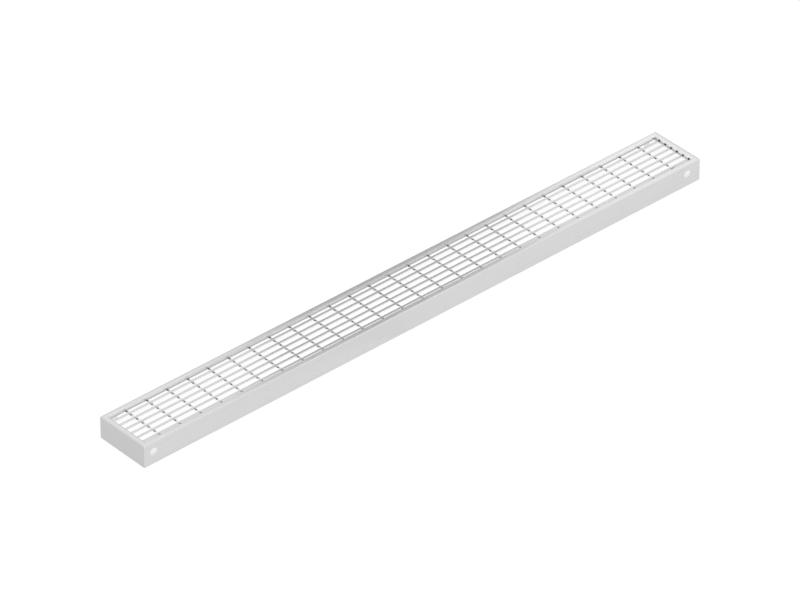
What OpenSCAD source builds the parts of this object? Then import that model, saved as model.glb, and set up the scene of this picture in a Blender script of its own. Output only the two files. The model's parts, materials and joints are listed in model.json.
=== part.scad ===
// Channel drain grate: a mitred frame of folded sheet rails that carries a
// mesh of flat bars. The long bars lie on the cross bars, and both lie below
// the rim. The frame's plan is centred on the origin and stands on Z = 0.

/* [Frame] */
// Length of the frame along X
length = 1000; // [300:1:2000]
// Width of the frame along Y
width = 89.5; // [60:0.5:200]
// Height of the frame from its bottom edge to the rim
height = 34.5; // [29:0.5:80]
// Thickness of the folded sheet
sheet_t = 1; // [0.8:0.05:1.1]
// Width of the rim from the outer face to the face of the lip
rim_w = 7.9; // [6:0.1:12]
// Outer radius of the fold between wall and rim
wall_fold_r = 1.2; // [1.2:0.1:2.8]
// Outer radius of the fold between rim and lip
lip_fold_r = 1.2; // [1.2:0.1:2.8]

/* [Mesh] */
// How far the tops of the long bars lie below the rim
mesh_drop = 3.8; // [2:0.1:6]
// Number of long bars
long_count = 6; // [4:1:7]
// Distance from the face of a side lip to the middle of the nearest long bar
long_edge = 7.175; // [5:0.025:10]
// Width of a long bar
long_w = 3; // [2:0.1:4]
// Thickness of a long bar
long_t = 2; // [1.5:0.1:4]
// Number of cross bars
cross_count = 27; // [8:1:40]
// Distance from the face of an end lip to the middle of the nearest cross bar
cross_edge = 30.6; // [5:0.1:40]
// Width of a cross bar
cross_w = 3; // [2:0.1:4]
// Thickness of a cross bar
cross_t = 2; // [1.5:0.1:4]
// Radius of the eased edges of the bars
edge_r = 0.3; // [0.1:0.05:0.6]

/* [Locking nubs] */
// Diameter of a nub where it leaves the wall
nub_d = 11.8; // [6:0.1:14]
// How far a nub stands out of the wall
nub_h = 1.6; // [1.1:0.1:2.4]
// Distance from the left end of the near wall to its first nub
nub_left = 16.2; // [12:0.1:40]
// Distance from the right end of the near wall to its second nub
nub_right = 23.6; // [12:0.1:40]
// How far the centres of the nubs lie below the rim
nub_drop = 15.2; // [13:0.1:18]

/* [Hidden] */
$fn = 64;

// The side lips end on the cross bars, and the end lips reach down to their undersides
long_top = height - mesh_drop;
cross_top = long_top - long_t;
cross_bottom = cross_top - cross_t;

// The bars share the opening between the lips evenly
opening_x = length - 2 * rim_w;
opening_y = width - 2 * rim_w;
long_pitch = (opening_y - 2 * long_edge) / (long_count - 1);
cross_pitch = (opening_x - 2 * cross_edge) / (cross_count - 1);

// Sphere that gives a nub its diameter and its height
nub_r = nub_d / 2;
nub_sphere_r = (nub_r * nub_r + nub_h * nub_h) / (2 * nub_h);

// Room that a cutting shape keeps beyond what it cuts
clear = 1;

long_names = [for (i = [1:long_count]) str("long_bar_", i)];
cross_names = [for (i = [1:cross_count]) str("cross_bar_", i)];

// Quarter ring of a fold, in the quadrant where both coordinates are positive
module fold(outer_r) {
    intersection() {
        difference() {
            circle(outer_r);
            circle(outer_r - sheet_t);
        }
        square(outer_r);
    }
}

// Section of a rail: wall, fold, rim, fold and lip, with the outer face on the left
module rail_section(lip_bottom) {
    square([sheet_t, height - wall_fold_r]);
    translate([wall_fold_r, height - wall_fold_r])
        mirror([1, 0])
            fold(wall_fold_r);
    translate([wall_fold_r, height - sheet_t])
        square([rim_w - wall_fold_r - lip_fold_r, sheet_t]);
    translate([rim_w - lip_fold_r, height - lip_fold_r])
        fold(lip_fold_r);
    translate([rim_w - sheet_t, lip_bottom])
        square([sheet_t, height - lip_fold_r - lip_bottom]);
}

// Plan of a rail with mitred ends, open towards its outer side
module mitre_plan(rail_l) {
    half = rail_l / 2;
    outside = nub_h + clear;
    inside = rim_w + clear;
    polygon([
        [-half, -outside],
        [half, -outside],
        [half, 0],
        [half - inside, inside],
        [-half + inside, inside],
        [-half, 0]
    ]);
}

// Straight rail along X with its outer face on Y = 0 and its lip towards +Y
module rail(rail_l, lip_bottom) {
    intersection() {
        translate([-rail_l / 2, 0, 0])
            rotate([90, 0, 90])
                linear_extrude(rail_l)
                    rail_section(lip_bottom);
        linear_extrude(height)
            mitre_plan(rail_l);
    }
}

// Centres of the two nubs of a side rail, in the rail's own frame
nub_places = [-length / 2 + nub_left, length / 2 - nub_right];

// Domed outer side of a nub
module nub_dome() {
    intersection() {
        translate([0, nub_sphere_r - nub_h, 0])
            sphere(nub_sphere_r);
        translate([-nub_d, -2 * nub_h, -nub_d])
            cube([2 * nub_d, 2 * nub_h, 2 * nub_d]);
    }
}

// Hollow that the press leaves behind a nub
module nub_hollow() {
    translate([0, nub_sphere_r - nub_h, 0])
        sphere(nub_sphere_r - sheet_t);
}

// Side rail with its two nubs pressed out of the wall
module side_rail() {
    difference() {
        union() {
            rail(length, cross_top);
            for (x = nub_places)
                translate([x, 0, height - nub_drop])
                    nub_dome();
        }
        for (x = nub_places)
            translate([x, 0, height - nub_drop])
                intersection() {
                    nub_hollow();
                    translate([-nub_d, -2 * nub_h, -nub_d])
                        cube([2 * nub_d, 2 * nub_h + sheet_t + clear, 2 * nub_d]);
                }
    }
}

// Both side rails are the same rail, one of them turned half round
module side_rail_near() {
    color("silver")
        translate([0, -width / 2, 0])
            side_rail();
}

module side_rail_far() {
    color("silver")
        rotate(180)
            translate([0, -width / 2, 0])
                side_rail();
}

module end_rail_left() {
    color("lightgray")
        rotate(-90)
            translate([0, -length / 2, 0])
                rail(width, cross_bottom);
}

module end_rail_right() {
    color("lightgray")
        rotate(90)
            translate([0, -length / 2, 0])
                rail(width, cross_bottom);
}

// Section of a flat bar with eased edges, centred across and standing on its bottom face
module bar_section(bar_w, bar_t) {
    translate([-bar_w / 2 + edge_r, 0])
        square([bar_w - 2 * edge_r, bar_t]);
    translate([-bar_w / 2, edge_r])
        square([bar_w, bar_t - 2 * edge_r]);
    for (side = [-1, 1], level = [edge_r, bar_t - edge_r])
        translate([side * (bar_w / 2 - edge_r), level])
            circle(edge_r);
}

// Middle of one of several places that are a pitch apart and centred on zero
function place(i, count, pitch) = (i - (count + 1) / 2) * pitch;

// Long bar, between the lips of the end rails and on top of the cross bars
module long_bar(i) {
    color("gainsboro")
        translate([-opening_x / 2, place(i, long_count, long_pitch), cross_top])
            rotate([90, 0, 90])
                linear_extrude(opening_x)
                    bar_section(long_w, long_t);
}

// Cross bar, from wall to wall and under the lips of the side rails
module cross_bar(i) {
    color("darkgray")
        translate([place(i, cross_count, cross_pitch), width / 2 - sheet_t, cross_bottom])
            rotate([90, 0, 0])
                linear_extrude(width - 2 * sheet_t)
                    bar_section(cross_w, cross_t);
}

side_rail_near();
side_rail_far();
end_rail_left();
end_rail_right();
for (i = [1:long_count])
    long_bar(i);
for (i = [1:cross_count])
    cross_bar(i);
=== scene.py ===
# %% [markdown]
# # A channel drain grate in stainless steel
#
# This lesson dresses a line-drain grate: a long, low frame of folded sheet with
# a mesh of flat bars set a few millimetres below its rim. What is left to make
# is what the eye reads as steel: the brushed grain of the sheet, the painted
# light and shade on its faces, the dark weld spots where the bars meet, whose
# darkness is partly painted shade, and a soft studio round it all.

# %% Load the imported solids
import json
import math
import random

import bmesh
import bpy
from mathutils import Matrix, Vector


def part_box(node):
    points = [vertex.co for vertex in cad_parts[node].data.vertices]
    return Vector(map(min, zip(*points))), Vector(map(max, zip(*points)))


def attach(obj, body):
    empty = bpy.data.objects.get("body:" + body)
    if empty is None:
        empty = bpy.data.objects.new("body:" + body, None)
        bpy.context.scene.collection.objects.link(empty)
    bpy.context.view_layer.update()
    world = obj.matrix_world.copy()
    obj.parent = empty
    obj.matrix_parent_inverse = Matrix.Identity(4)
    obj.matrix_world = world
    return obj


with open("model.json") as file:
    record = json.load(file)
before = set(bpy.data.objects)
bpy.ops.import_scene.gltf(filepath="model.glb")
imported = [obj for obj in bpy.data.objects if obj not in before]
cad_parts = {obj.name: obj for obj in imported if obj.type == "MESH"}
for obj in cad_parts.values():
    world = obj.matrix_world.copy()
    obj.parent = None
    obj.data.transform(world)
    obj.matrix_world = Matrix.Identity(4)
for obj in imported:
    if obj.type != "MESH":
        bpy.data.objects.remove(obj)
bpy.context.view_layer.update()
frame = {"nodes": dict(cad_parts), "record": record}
nodes = frame["nodes"]
MM = 0.001

# %% [markdown]
# ## Measure the frame once
#
# The weld beads, dark partly with painted shade, sit where bars cross and where
# they meet the folded lips. Those places could be typed in again, but then they
# would drift as soon as a bar moves. The boxes of the nodes give the same
# numbers, so they are read there.

# %% Read the places of the bars and the lips
def node_numbers(prefix):
    """Numbers of the nodes whose names start with a prefix, in order."""
    return sorted(int(name[len(prefix):]) for name in nodes if name.startswith(prefix))


long_boxes = [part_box(f"long_bar_{i}") for i in node_numbers("long_bar_")]
cross_boxes = [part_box(f"cross_bar_{i}") for i in node_numbers("cross_bar_")]
_, side_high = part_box("side_rail_near")
end_low, end_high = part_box("end_rail_left")

half_length = side_high.x
half_width = -end_low.y
rim_top = side_high.z
rim_width = end_high.x - end_low.x
long_top = long_boxes[0][1].z
cross_top = cross_boxes[0][1].z
long_width = long_boxes[0][1].y - long_boxes[0][0].y
long_places = [(low.y + high.y) / 2 for low, high in long_boxes]
cross_places = [(low.x + high.x) / 2 for low, high in cross_boxes]
SHEET = 1.0 * MM
nub_height = next(mount["pos_m"][2] for mount in frame["record"]["mounts"]
                  if mount["name"].startswith("nub"))
print("long bars:", len(long_places), "cross bars:", len(cross_places))
print("half length, half width, rim:", half_length, half_width, rim_top)

# %% [markdown]
# ## The camera
#
# The photograph is a long-lens view from above one corner, close to an
# isometric drawing. A long lens keeps the far end nearly as large as the near
# one, so the camera stands almost ten metres off and looks through a narrow
# angle.

# %% Place the camera
AZIMUTH = math.radians(-41.62)
ELEVATION = math.radians(35.591)
DISTANCE = 9.5514
LENS = 318.47
TARGET = Vector((0.00019, 0.01569, 0.0))
SENSOR = 36
FARTHEST = 100


def place_camera():
    """Long-lens camera that looks at the target from above the near left corner."""
    data = bpy.data.cameras.new("camera")
    data.lens = LENS
    data.sensor_width = SENSOR
    data.clip_end = FARTHEST
    camera = bpy.data.objects.new("camera", data)
    bpy.context.scene.collection.objects.link(camera)
    flat = math.cos(ELEVATION)
    back = Vector((math.sin(AZIMUTH) * flat, -math.cos(AZIMUTH) * flat, math.sin(ELEVATION)))
    camera.location = TARGET + back * DISTANCE
    camera.rotation_euler = (math.pi / 2 - ELEVATION, 0, AZIMUTH)
    bpy.context.scene.camera = camera
    print("camera at", tuple(round(v, 3) for v in camera.location))


place_camera()

# %% [markdown]
# ## Helpers for node trees
#
# A material is a small graph. A few short helpers keep the lines readable: they
# add a node and fill its inputs, do one sum, fade or blend two levels, and make
# a group with its sockets.

# %% Small helpers for nodes
def add_node(tree, kind, inputs=None, **settings):
    """New node of a kind, with its settings and its inputs, which are values or sockets."""
    node = tree.nodes.new(kind)
    for key, value in settings.items():
        setattr(node, key, value)
    for key, value in (inputs or {}).items():
        socket = node.inputs[key]
        if isinstance(value, bpy.types.NodeSocket):
            tree.links.new(value, socket)
        else:
            socket.default_value = value
    return node


def calculate(tree, operation, first, second=0.0):
    """Result socket of one Math node."""
    return add_node(tree, "ShaderNodeMath", {0: first, 1: second}, operation=operation).outputs[0]


def fade(tree, value, low, high, at_low=0.0, at_high=1.0):
    """Smooth change of a value from one level to another between two limits."""
    node = add_node(tree, "ShaderNodeMapRange", {
        "Value": value, "From Min": low, "From Max": high,
        "To Min": at_low, "To Max": at_high}, interpolation_type="SMOOTHSTEP")
    return node.outputs["Result"]


NOISE_MIDDLE = (0.3, 0.7)


def spread(tree, noise, at_low, at_high):
    """The middle part of a noise, spread between two levels."""
    return fade(tree, noise, *NOISE_MIDDLE, at_low, at_high)


def blend(tree, factor, first, second):
    """Value between two others."""
    node = add_node(tree, "ShaderNodeMix", {0: factor, 2: first, 3: second}, data_type="FLOAT")
    return node.outputs[0]


def new_group(name, inputs, outputs):
    """Node group with named sockets, and its input and output nodes."""
    tree = bpy.data.node_groups.new(name, "ShaderNodeTree")
    for label, kind, value in inputs:
        socket = tree.interface.new_socket(label, in_out="INPUT", socket_type=kind)
        if value is not None:
            socket.default_value = value
    for label, kind in outputs:
        tree.interface.new_socket(label, in_out="OUTPUT", socket_type=kind)
    return tree, tree.nodes.new("NodeGroupInput"), tree.nodes.new("NodeGroupOutput")


helpers = (add_node, calculate, fade, spread, blend, new_group)
print("helpers:", ", ".join(helper.__name__ for helper in helpers))

# %% [markdown]
# ## Brushed grain
#
# Satin sheet is drawn under an abrasive belt, which leaves fine scratches that
# all run one way, a few tenths of a millimetre wide and centimetres long. A
# noise texture gives that look when its space is squeezed along the grain. One
# group does it for every piece, and each material says how the grain runs.

# %% Brushed grain group
ALONG_X = (14, 1900, 1900)
ALONG_Y = (1900, 14, 1900)
STREAK_SCALE = 0.13
FINE_SHARE = 0.45
STREAK_SHARE = 0.55


def make_grain_group():
    """Fine scratches along one way: a height for bump and a mask for tone."""
    tree, source, result = new_group(
        "brushed_grain",
        [("Vector", "NodeSocketVector", None), ("Along", "NodeSocketVector", ALONG_X)],
        [("Height", "NodeSocketFloat"), ("Tone", "NodeSocketFloat")])
    squeezed = add_node(tree, "ShaderNodeVectorMath", {
        0: source.outputs["Vector"], 1: source.outputs["Along"]}, operation="MULTIPLY")
    fine = add_node(tree, "ShaderNodeTexNoise", {
        "Vector": squeezed.outputs[0], "Scale": 1.0, "Detail": 3.0, "Roughness": 0.6})
    wide = add_node(tree, "ShaderNodeVectorMath", {
        0: squeezed.outputs[0], "Scale": STREAK_SCALE}, operation="SCALE")
    streak = add_node(tree, "ShaderNodeTexNoise", {
        "Vector": wide.outputs[0], "Scale": 1.0, "Detail": 2.0, "Roughness": 0.5})
    tree.links.new(fine.outputs["Fac"], result.inputs["Height"])
    tone = calculate(tree, "ADD", calculate(tree, "MULTIPLY", fine.outputs["Fac"], FINE_SHARE),
                     calculate(tree, "MULTIPLY", streak.outputs["Fac"], STREAK_SHARE))
    tree.links.new(tone, result.inputs["Tone"])
    return tree


grain_group = make_grain_group()
print("group:", grain_group.name)

# %% [markdown]
# ## Handling marks
#
# Even new steel isn't even: rolling and handling leave cloudy patches a few
# centimetres wide, with slightly duller or brighter gloss. A second group gives
# that cloud, which the materials feed to roughness and a little to colour.

# %% Cloudy patches group
CLOUD_SCALE = 22.0
FLECKS_PER_CLOUD = 24.0
FLECK_LIMITS = (0.62, 0.72)


def make_cloud_group():
    """Soft cloudy mask, a few centimetres across, with small flecks in it."""
    tree, source, result = new_group(
        "handling_cloud",
        [("Vector", "NodeSocketVector", None), ("Size", "NodeSocketFloat", CLOUD_SCALE)],
        [("Cloud", "NodeSocketFloat"), ("Fleck", "NodeSocketFloat")])
    cloud = add_node(tree, "ShaderNodeTexNoise", {
        "Vector": source.outputs["Vector"], "Scale": source.outputs["Size"],
        "Detail": 4.0, "Roughness": 0.55})
    speck_size = calculate(tree, "MULTIPLY", source.outputs["Size"], FLECKS_PER_CLOUD)
    speck = add_node(tree, "ShaderNodeTexNoise", {
        "Vector": source.outputs["Vector"], "Scale": speck_size, "Detail": 2.0})
    tree.links.new(cloud.outputs["Fac"], result.inputs["Cloud"])
    tree.links.new(fade(tree, speck.outputs["Fac"], *FLECK_LIMITS), result.inputs["Fleck"])
    return tree


cloud_group = make_cloud_group()
print("group:", cloud_group.name)

# %% [markdown]
# ## Distance to a joint
#
# The cross bars are painted a touch paler beside each joint, a painted light that
# lifts the shade there. The bars cross on a regular lattice, so that can be
# worked out from the place on the piece: the distance to the nearest long bar,
# folded by the pitch, is small only near a joint. Painting it by hand would mean
# one mask for every crossing.

# %% Lattice distance group
def make_lattice_group():
    """Distance to the nearest place of a row that is evenly spaced along one axis."""
    tree, source, result = new_group(
        "lattice_distance",
        [("Value", "NodeSocketFloat", 0.0), ("First", "NodeSocketFloat", 0.0),
         ("Pitch", "NodeSocketFloat", long_places[1] - long_places[0])],
        [("Distance", "NodeSocketFloat")])
    past_first = calculate(tree, "SUBTRACT", source.outputs["Value"], source.outputs["First"])
    steps = calculate(tree, "DIVIDE", past_first, source.outputs["Pitch"])
    nearest = calculate(tree, "ROUND", steps)
    offset = calculate(tree, "ABSOLUTE", calculate(tree, "SUBTRACT", steps, nearest))
    tree.links.new(calculate(tree, "MULTIPLY", offset, source.outputs["Pitch"]),
                   result.inputs["Distance"])
    return tree


lattice_group = make_lattice_group()
print("group:", lattice_group.name)

# %% [markdown]
# ## Satin steel
#
# Every piece is the same metal, but the eye tells its faces apart by tone. The
# outer face of a rail is ground along its length. The rim and lip are painted a
# little brighter than the wall, the pressed nubs are painted brighter still, and
# the end walls are painted darker than the side walls: all of this is painted
# light and shade, as are the highlights and shade along the folds and down the
# lip. The inner side never meets the belt and keeps a smooth mill finish, and its
# grey is painted fully light. One material could be split over these faces by hand, but a mask
# worked out from the place on the piece gives the same split and follows the sheet. The far
# lip faces the viewer, and its grey changes along the grate with what it
# mirrors there, a painted reflection with a few stops of its own.

# %% Where one zone of a rail passes into the next
FOOT_HEIGHT = 2.2 * MM
# Painted shade: the outer wall darkens towards its foot, where it meets the floor.
FOOT_PAINTED_SHADE = 0.93
WALL_DEPTHS = (SHEET * 0.7, SHEET * 0.4)
LIP_DEPTHS = (SHEET * 1.2, SHEET * 1.6)
# Painted shade: the lip darkens from its head down to its foot over this span.
LIP_SHADE = (4.2 * MM, 1.9 * MM)
CUT_EDGE_SOFT = 0.2 * MM
RIM_DEPTHS = (0.9 * MM, 0.3 * MM)
# Bands along the outer and inner folds, which carry a painted highlight or painted shade.
FOLD_DEPTHS = (1.3 * MM, 0.9 * MM)
INNER_FOLD_WIDTHS = (1.15 * MM, 1.45 * MM)
OUTER_FOLD_SOFT = 0.3 * MM
NUB_BELOW, NUB_ABOVE = 4.5 * MM, 5.0 * MM
# Painted highlight and shade on the nubs, above and below their middle.
NUB_PAINTED_SHADE, NUB_PAINTED_HIGHLIGHT = 0.05, 0.07
NUB_START = 0.12 * MM


def stepped(tree, value, stops):
    """Level that passes smoothly through stops, each a place in millimetres and a level."""
    level = stops[0][1]
    for (low, _), (high, after) in zip(stops, stops[1:]):
        level = blend(tree, fade(tree, value, low * MM, high * MM), level, after)
    return level


def zone_tone(tree, place, across, reach, zones):
    """Grey level of a rail at each place, with its painted light and shade, and a mask of its
    smooth inner side.
    """
    axes = add_node(tree, "ShaderNodeSeparateXYZ", {0: place})
    height = axes.outputs["Z"]
    out = calculate(tree, "ABSOLUTE", axes.outputs[across])
    lip_face = reach - rim_width
    in_folds = fade(tree, height, rim_top - FOLD_DEPTHS[0], rim_top - FOLD_DEPTHS[1])

    # Wall: ground outside, with painted shade darkening its foot where it meets the floor; smooth
    # inside and painted fully light
    outer = fade(tree, height, 0.0, FOOT_HEIGHT, zones["outer"] * FOOT_PAINTED_SHADE, zones["outer"])
    on_wall = fade(tree, out, reach - WALL_DEPTHS[0], reach - WALL_DEPTHS[1])
    tone = blend(tree, on_wall, zones["inner"], outer)

    # Lip: painted shade, pale above and dark below, with its cut edge at the bottom; its upper
    # grey carries the painted reflection along the grate
    mirrored = stepped(tree, axes.outputs["X"], zones["mirrored"])
    lip_head = calculate(tree, "MULTIPLY", mirrored, zones["lip_head"])
    lip = fade(tree, height, rim_top - LIP_SHADE[0], rim_top - LIP_SHADE[1],
               zones["lip_foot"], lip_head)
    above_edge = fade(tree, height, zones["lip_edge"] - CUT_EDGE_SOFT,
                      zones["lip_edge"] + CUT_EDGE_SOFT)
    lip = blend(tree, above_edge, zones["cut_edge"], lip)
    on_lip = fade(tree, out, lip_face + LIP_DEPTHS[0], lip_face + LIP_DEPTHS[1], 1.0, 0.0)
    tone = blend(tree, on_lip, tone, lip)

    # Rim painted lighter than the wall, and the two folds that bound it, each with a painted
    # highlight or painted shade
    on_rim = fade(tree, height, rim_top - RIM_DEPTHS[0], rim_top - RIM_DEPTHS[1])
    tone = blend(tree, on_rim, tone, zones["rim"])
    by_lip = fade(tree, out, lip_face + INNER_FOLD_WIDTHS[0], lip_face + INNER_FOLD_WIDTHS[1],
                  1.0, 0.0)
    inner_fold = calculate(tree, "MULTIPLY", mirrored, zones["inner_fold"])
    tone = blend(tree, calculate(tree, "MULTIPLY", by_lip, in_folds), tone, inner_fold)
    by_wall = fade(tree, out, reach - zones["worn"] - OUTER_FOLD_SOFT, reach - zones["worn"])
    tone = blend(tree, calculate(tree, "MULTIPLY", by_wall, in_folds), tone, zones["outer_fold"])

    # Nubs: whatever stands out beyond the wall, painted lighter, palest towards the top and
    # darker towards the bottom
    nub = fade(tree, height, nub_height - NUB_BELOW, nub_height + NUB_ABOVE,
               zones["nub"] - NUB_PAINTED_SHADE, zones["nub"] + NUB_PAINTED_HIGHLIGHT)
    tone = blend(tree, fade(tree, out, reach, reach + NUB_START), tone, nub)

    brushed = calculate(tree, "MAXIMUM", on_wall, calculate(tree, "MAXIMUM", on_lip, on_rim))
    return tone, calculate(tree, "SUBTRACT", 1.0, brushed)


print("rim from", rim_top - RIM_DEPTHS[1], "up, foot up to", FOOT_HEIGHT)

# %% Satin steel material
MILL_ROUGH = 0.12
GRAIN_TONE = 0.022
CLOUD_TONE = 0.012
BLUER = 1.004
CLOUD_ROUGH = (-0.03, 0.04)
GRAIN_ROUGH = 0.03
FLECK_GLOSS = 0.05
GRAIN_BUMP = 0.00005


def satin_steel(name, along, rough, tone_of):
    """Brushed steel: along squeezes the grain, tone_of gives the grey and the smooth part."""
    material = bpy.data.materials.new(name)
    material.use_nodes = True
    tree = material.node_tree
    shader = tree.nodes["Principled BSDF"]
    shader.inputs["Metallic"].default_value = 1.0
    place = add_node(tree, "ShaderNodeTexCoord").outputs["Object"]
    grain = add_node(tree, "ShaderNodeGroup", node_tree=grain_group)
    tree.links.new(place, grain.inputs["Vector"])
    grain.inputs["Along"].default_value = along
    cloud = add_node(tree, "ShaderNodeGroup", node_tree=cloud_group)
    tree.links.new(place, cloud.inputs["Vector"])

    # Tone: the grain and the cloud each move the grey by a few parts in a hundred
    change = calculate(tree, "ADD", spread(tree, grain.outputs["Tone"], -GRAIN_TONE, GRAIN_TONE),
                       spread(tree, cloud.outputs["Cloud"], -CLOUD_TONE, CLOUD_TONE))
    tone, smooth = tone_of(tree, place)
    grey = calculate(tree, "MULTIPLY", calculate(tree, "ADD", change, 1.0), tone)
    colour = add_node(tree, "ShaderNodeCombineColor", {
        "Red": grey, "Green": grey, "Blue": calculate(tree, "MULTIPLY", grey, BLUER)})
    tree.links.new(colour.outputs[0], shader.inputs["Base Color"])

    # Gloss: duller in the cloud's patches, with a few bright flecks
    cloudy = spread(tree, cloud.outputs["Cloud"], rough + CLOUD_ROUGH[0], rough + CLOUD_ROUGH[1])
    dull = calculate(tree, "ADD", cloudy,
                     spread(tree, grain.outputs["Height"], -GRAIN_ROUGH, GRAIN_ROUGH))
    flecks = calculate(tree, "MULTIPLY", cloud.outputs["Fleck"], FLECK_GLOSS)
    gloss = calculate(tree, "SUBTRACT", dull, flecks)
    tree.links.new(blend(tree, smooth, gloss, MILL_ROUGH), shader.inputs["Roughness"])
    bump = add_node(tree, "ShaderNodeBump", {
        "Strength": 0.1, "Distance": GRAIN_BUMP, "Height": grain.outputs["Height"]})
    tree.links.new(bump.outputs["Normal"], shader.inputs["Normal"])
    return material


# %% Grey levels of the pieces
EVEN = ((0, 1.0),)
# Painted reflection: stops along the far lip, each a place in millimetres and a level, that set
# its upper grey to what it would mirror there.
FAR_LIP_PAINTED_REFLECTION = ((-400, 1.0), (-290, 0.90), (-120, 0.90), (-40, 0.82),
           (110, 0.82), (230, 1.0), (350, 1.0), (410, 1.18))
# Painted light and shade: rims, lips and nubs lighter than the walls, end walls darker than side
# walls, inner side painted fully light.
SIDE_ZONES = {
    "outer": 0.68, "rim": 0.74, "inner": 1.0, "nub": 0.83, "lip_head": 0.83, "lip_foot": 0.45,
    "lip_edge": cross_top + 0.5 * MM, "cut_edge": 0.85, "mirrored": EVEN}
END_ZONES = {
    "outer": 0.57, "rim": 0.74, "inner": 1.0, "nub": 0.83, "lip_head": 0.98, "lip_foot": 0.48,
    "lip_edge": cross_top - 0.4 * MM, "cut_edge": 0.72, "mirrored": EVEN}
RAIL_ZONES = {
    "side_rail_near": {
        **SIDE_ZONES, "outer_fold": 0.76, "inner_fold": 0.30, "worn": 1.15 * MM},
    "side_rail_far": {
        **SIDE_ZONES, "outer_fold": 0.67, "inner_fold": 0.77, "worn": 3.2 * MM,
        "rim": 0.76, "mirrored": FAR_LIP_PAINTED_REFLECTION},
    "end_rail_left": {
        **END_ZONES, "outer_fold": 0.66, "inner_fold": 0.45, "worn": 1.15 * MM},
    "end_rail_right": {
        **END_ZONES, "outer_fold": 0.60, "inner_fold": 1.00, "worn": 3.0 * MM},
}
LONG_TONE = 0.685
# Painted light on the long bar flanks, and painted shade towards the right end of the long bars.
LONG_FLANK_PAINTED_LIGHT = 0.75
LONG_RIGHT_END_SHADE = 0.94
RIGHT_END_SHADE_FROM, RIGHT_END_SHADE_TO = half_length - 180 * MM, half_length - 70 * MM
CROSS_TONE = 0.80
# Painted light on the cross bar flanks, and on their tops beside each joint.
CROSS_FLANK_PAINTED_LIGHT = 0.92
JOINT_PAINTED_LIGHT = 1.02
JOINT_REACH = (1.6 * MM, 4.0 * MM)
FLANK_DEPTHS = (0.4 * MM, 0.1 * MM)


def rail_tone(rail):
    """Function that gives the zones of one rail, whose wall faces along Y or along X."""
    across, reach = ("Y", half_width) if rail.startswith("side") else ("X", half_length)
    return lambda tree, place: zone_tone(tree, place, across, reach, RAIL_ZONES[rail])


def flank_mask(tree, height, top):
    """One on the sides of a bar and nought on its top."""
    return fade(tree, height, top - FLANK_DEPTHS[0], top - FLANK_DEPTHS[1], 1.0, 0.0)


def long_tone(tree, place):
    """Ground top of a long bar, paler sides as painted light, and painted shade towards its right
    end.
    """
    axes = add_node(tree, "ShaderNodeSeparateXYZ", {0: place})
    tone = blend(tree, flank_mask(tree, axes.outputs["Z"], long_top), LONG_TONE, LONG_FLANK_PAINTED_LIGHT)
    right_end_shade = fade(tree, axes.outputs["X"], RIGHT_END_SHADE_FROM, RIGHT_END_SHADE_TO, 1.0, LONG_RIGHT_END_SHADE)
    return calculate(tree, "MULTIPLY", tone, right_end_shade), 0.0


def cross_tone(tree, place):
    """Ground top of a cross bar, with painted light: a touch paler near its joints, and paler
    sides.
    """
    axes = add_node(tree, "ShaderNodeSeparateXYZ", {0: place})
    near = add_node(tree, "ShaderNodeGroup", node_tree=lattice_group)
    tree.links.new(axes.outputs["Y"], near.inputs["Value"])
    near.inputs["First"].default_value = long_places[0]
    near.inputs["Pitch"].default_value = long_places[1] - long_places[0]
    top = fade(tree, near.outputs["Distance"], *JOINT_REACH, CROSS_TONE * JOINT_PAINTED_LIGHT, CROSS_TONE)
    return blend(tree, flank_mask(tree, axes.outputs["Z"], cross_top), top, CROSS_FLANK_PAINTED_LIGHT), 0.0


# %% Finishes of the pieces
RAIL_ROUGH = 0.32
LONG_ROUGH = 0.20
CROSS_ROUGH = 0.26
finishes = {}
for rail in RAIL_ZONES:
    grain_way = ALONG_X if rail.startswith("side") else ALONG_Y
    finishes[rail] = satin_steel(f"{rail}_steel", grain_way, RAIL_ROUGH, rail_tone(rail))
finishes["long_bar"] = satin_steel("long_bar_steel", ALONG_X, LONG_ROUGH, long_tone)
finishes["cross_bar"] = satin_steel("cross_bar_steel", ALONG_Y, CROSS_ROUGH, cross_tone)
for name, node in nodes.items():
    finish = next(value for key, value in finishes.items() if name.startswith(key))
    for slot in node.material_slots:
        slot.material = finish
slot_count = sum(len(node.material_slots) for node in nodes.values())
print("finishes:", sorted(finishes), "slots:", slot_count)

# %% [markdown]
# ## Weld beads and painted shade
#
# Each joint of the mesh shows as a small dark nugget of weld on the cross bar,
# just in front of the long bar and a little to the left of the middle. Its
# darkness is partly weld and partly painted shade, for the shade where the bars
# meet. The lips are tacked to the bars in the same way, dark with the same
# painted shade. A low dome that is pulled out into an oval is enough. All beads
# of one kind are one mesh, because hundreds of loose objects would only make the
# file slow.

# %% Helper that drops one bead into a mesh
BEAD_SEED = 7
BEAD_SIZES = (0.88, 1.1)
BEAD_TURN = 0.25
bead_random = random.Random(BEAD_SEED)


def add_bead(shape, centre, reach):
    """Low oval dome in a mesh, with a slightly different size each time."""
    made = bmesh.ops.create_uvsphere(shape, u_segments=8, v_segments=4, radius=1.0)
    size = [r * bead_random.uniform(*BEAD_SIZES) for r in reach]
    turn = Matrix.Rotation(bead_random.uniform(-BEAD_TURN, BEAD_TURN), 4, "Z")
    where = Matrix.Translation(centre) @ turn @ Matrix.Diagonal((*size, 1.0))
    bmesh.ops.transform(shape, matrix=where, verts=made["verts"])


def finish_mesh(name, shape, material):
    """Object at the origin that holds a bmesh, rides on the grate and has a finish."""
    for face in shape.faces:
        face.smooth = True
    mesh = bpy.data.meshes.new(name)
    shape.to_mesh(mesh)
    shape.free()
    mesh.materials.append(material)
    piece = bpy.data.objects.new(name, mesh)
    bpy.context.scene.collection.objects.link(piece)
    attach(piece, "root")
    print(name, "faces:", len(mesh.polygons))
    return piece


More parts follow.
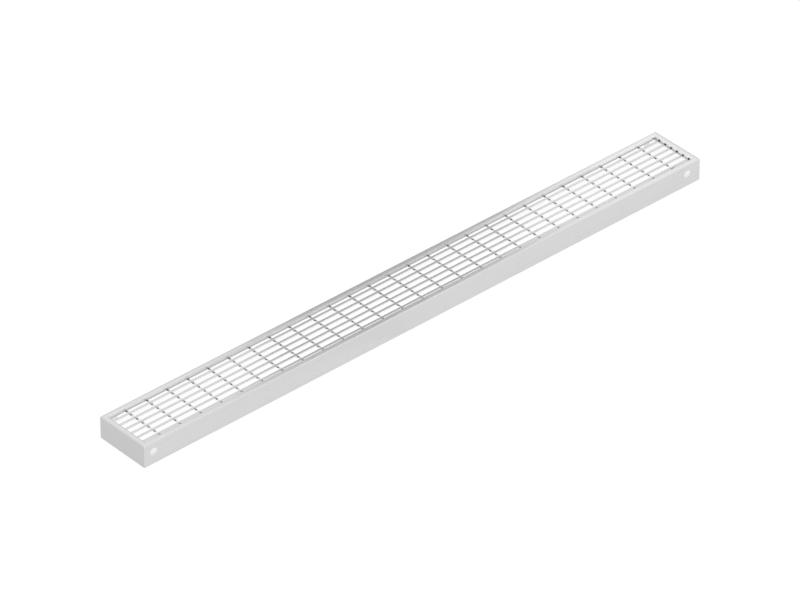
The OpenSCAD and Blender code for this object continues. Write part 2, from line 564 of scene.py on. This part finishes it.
# %% Weld material
PIT_SCALE = 2600.0
PIT_DEPTH = 0.0002
WELD_ROUGH = (0.42, 0.62)
WELD_GREEN, WELD_BLUE = 0.98, 0.97


def weld_and_shade_steel(name, darkest, lightest):
    """Rough, heat-darkened steel with small pits, dark enough to stand as painted shade at the
    joints too.
    """
    material = bpy.data.materials.new(name)
    material.use_nodes = True
    tree = material.node_tree
    shader = tree.nodes["Principled BSDF"]
    shader.inputs["Metallic"].default_value = 0.9
    place = add_node(tree, "ShaderNodeTexCoord").outputs["Object"]
    pits = add_node(tree, "ShaderNodeTexNoise", {
        "Vector": place, "Scale": PIT_SCALE, "Detail": 3.0})
    grey = spread(tree, pits.outputs["Fac"], darkest, lightest)
    colour = add_node(tree, "ShaderNodeCombineColor", {
        "Red": grey, "Green": calculate(tree, "MULTIPLY", grey, WELD_GREEN),
        "Blue": calculate(tree, "MULTIPLY", grey, WELD_BLUE)})
    tree.links.new(colour.outputs[0], shader.inputs["Base Color"])
    tree.links.new(spread(tree, pits.outputs["Fac"], *WELD_ROUGH), shader.inputs["Roughness"])
    bump = add_node(tree, "ShaderNodeBump", {
        "Strength": 0.5, "Distance": PIT_DEPTH, "Height": pits.outputs["Fac"]})
    tree.links.new(bump.outputs["Normal"], shader.inputs["Normal"])
    return material


# Weld greys, darkened further as painted shade for the joints.
mesh_weld_shade = weld_and_shade_steel("mesh_weld_steel", 0.10, 0.20)
lip_weld_shade = weld_and_shade_steel("lip_weld_steel", 0.05, 0.13)
print("welds:", mesh_weld_shade.name, lip_weld_shade.name)

# %% Beads at the crossings of the mesh
BEAD = (1.8 * MM, 1.2 * MM, 0.5 * MM)
BEAD_LEFT, BEAD_IN_FRONT = 0.8 * MM, 2.1 * MM


def mesh_weld_and_shade_beads():
    """One bead at each crossing, on the cross bar just in front of the long bar; its dark weld
    colour is also painted shade.
    """
    shape = bmesh.new()
    for x in cross_places:
        for y in long_places:
            front = y - long_width / 2 - BEAD_IN_FRONT
            add_bead(shape, (x - BEAD_LEFT, front, cross_top), BEAD)
    return finish_mesh("mesh_welds", shape, mesh_weld_shade)


mesh_weld_and_shade_beads()

# %% Beads where the bars meet the lips
END_BEAD = (1.3 * MM, 2.3 * MM, 1.35 * MM)
END_BEAD_IN_FRONT, END_BEAD_BELOW = 0.9 * MM, 0.1 * MM
SIDE_BEAD = (1.6 * MM, 0.85 * MM, 0.9 * MM)
SIDE_BEAD_LEFT = 0.6 * MM


def lip_weld_and_shade_beads():
    """Beads on the ends of the long bars and where the cross bars pass under the side lips; their
    dark weld colour is also painted shade.
    """
    shape = bmesh.new()
    lip_x = half_length - rim_width
    lip_y = half_width - rim_width
    for end in (-1, 1):
        for y in long_places:
            centre = (end * lip_x, y - END_BEAD_IN_FRONT, long_top - END_BEAD_BELOW)
            add_bead(shape, centre, END_BEAD)
    for side in (-1, 1):
        for x in cross_places:
            add_bead(shape, (x - SIDE_BEAD_LEFT, side * lip_y, cross_top), SIDE_BEAD)
    return finish_mesh("lip_welds", shape, lip_weld_shade)


lip_weld_and_shade_beads()

# %% [markdown]
# ## The studio
#
# The photograph is a plain catalogue picture: white ground, white background
# and soft light from all round. The floor is white to the camera and to glossy
# rays, and an ordinary pale surface to the rest, so that it still carries a
# faint shadow. The surroundings are white too, with a greyer band low down
# behind the grate for the tops of the rims and the bars to mirror.

# %% Floor
WHITE = (1, 1, 1, 1)
BLACK = (0, 0, 0, 1)
FLOOR_SIZE = 60.0
FLOOR_PALE = 0.82
FLOOR_SHADOW = 0.10
FLOOR_GLOW = 0.93


def studio_floor():
    """Large pale floor that stays white to the camera and keeps its faint shadow."""
    shape = bmesh.new()
    bmesh.ops.create_grid(shape, x_segments=1, y_segments=1, size=FLOOR_SIZE / 2)
    mesh = bpy.data.meshes.new("floor")
    shape.to_mesh(mesh)
    shape.free()
    floor = bpy.data.objects.new("floor", mesh)
    bpy.context.scene.collection.objects.link(floor)
    material = bpy.data.materials.new("floor_white")
    material.use_nodes = True
    tree = material.node_tree
    shader = tree.nodes["Principled BSDF"]
    shader.inputs["Roughness"].default_value = 0.9
    shader.inputs["Specular IOR Level"].default_value = 0.0
    ray = add_node(tree, "ShaderNodeLightPath")
    seen = calculate(tree, "MAXIMUM", ray.outputs["Is Camera Ray"], ray.outputs["Is Glossy Ray"])
    seen = calculate(tree, "MAXIMUM", seen, ray.outputs["Is Transmission Ray"])
    pale = blend(tree, seen, FLOOR_PALE, FLOOR_SHADOW)
    colour = add_node(tree, "ShaderNodeCombineColor", {"Red": pale, "Green": pale, "Blue": pale})
    tree.links.new(colour.outputs[0], shader.inputs["Base Color"])
    shader.inputs["Emission Color"].default_value = WHITE
    glow = calculate(tree, "MULTIPLY", seen, FLOOR_GLOW)
    tree.links.new(glow, shader.inputs["Emission Strength"])
    mesh.materials.append(material)
    return floor


studio_floor()

# %% World
BAND_DEPTH = 0.5
BEHIND_LIMITS = (0.0, 0.6)
BAND_HEIGHTS = (0.02, 0.40)


def studio_world():
    """White surroundings with a darker band low down behind the grate."""
    world = bpy.data.worlds.new("studio")
    bpy.context.scene.world = world
    world.use_nodes = True
    tree = world.node_tree
    tree.nodes.clear()
    way = add_node(tree, "ShaderNodeTexCoord").outputs["Generated"]
    axes = add_node(tree, "ShaderNodeSeparateXYZ", {0: way})
    away = calculate(tree, "ADD", axes.outputs["X"], axes.outputs["Y"])
    behind = fade(tree, away, *BEHIND_LIMITS)
    low = fade(tree, axes.outputs["Z"], *BAND_HEIGHTS, BAND_DEPTH, 0.0)
    level = calculate(tree, "SUBTRACT", 1.0, calculate(tree, "MULTIPLY", behind, low))
    ray = add_node(tree, "ShaderNodeLightPath")
    surround = add_node(tree, "ShaderNodeBackground", {"Color": WHITE, "Strength": level})
    white = add_node(tree, "ShaderNodeBackground", {"Color": WHITE, "Strength": 1.0})
    mix = add_node(tree, "ShaderNodeMixShader", {
        0: ray.outputs["Is Camera Ray"], 1: surround.outputs[0], 2: white.outputs[0]})
    output = add_node(tree, "ShaderNodeOutputWorld")
    tree.links.new(mix.outputs[0], output.inputs["Surface"])
    print("world set")


studio_world()

# %% [markdown]
# ## Two cards behind the grate
#
# In the photograph the top of the grate is bright at both ends and grey in the
# middle, and a touch brighter at the right end than at the left. Those are
# reflections: something grey stands behind the grate, with something white
# beside it. Two cards do the same here. They are hidden from the camera and
# light nothing, so they only show where the steel mirrors them.

# %% Cards behind the grate
CARD_PLANE = 0.42
CARDS = {
    "grey_card": {"left": 0.095, "right": 0.585, "foot": 0.02, "head": 0.80, "level": 0.53},
    "white_card": {"left": 0.66, "right": 1.10, "foot": 0.02, "head": 0.80, "level": 1.09},
}


def studio_card(name, left, right, foot, head, level):
    """Upright card that only reflections see."""
    shape = bmesh.new()
    bmesh.ops.create_grid(shape, x_segments=1, y_segments=1, size=0.5)
    size = Matrix.Diagonal((right - left, head - foot, 1.0, 1.0))
    upright = Matrix.Rotation(math.pi / 2, 4, "X")
    centre = Matrix.Translation(((left + right) / 2, CARD_PLANE, (foot + head) / 2))
    bmesh.ops.transform(shape, matrix=centre @ upright @ size, verts=shape.verts)
    mesh = bpy.data.meshes.new(name)
    shape.to_mesh(mesh)
    shape.free()
    card = bpy.data.objects.new(name, mesh)
    bpy.context.scene.collection.objects.link(card)
    material = bpy.data.materials.new(name)
    material.use_nodes = True
    shader = material.node_tree.nodes["Principled BSDF"]
    shader.inputs["Base Color"].default_value = BLACK
    shader.inputs["Specular IOR Level"].default_value = 0.0
    shader.inputs["Emission Color"].default_value = WHITE
    shader.inputs["Emission Strength"].default_value = level
    mesh.materials.append(material)
    card.visible_camera = False
    card.visible_diffuse = False
    card.visible_shadow = False
    return card


for name, place in CARDS.items():
    studio_card(name, **place)
print("cards:", sorted(CARDS))

# %% [markdown]
# ## View settings
#
# The view transform stays Standard, so that a grey that is written as 0.6 is
# rendered as 0.6.

# %% Finish
bpy.context.scene.view_settings.view_transform = "Standard"
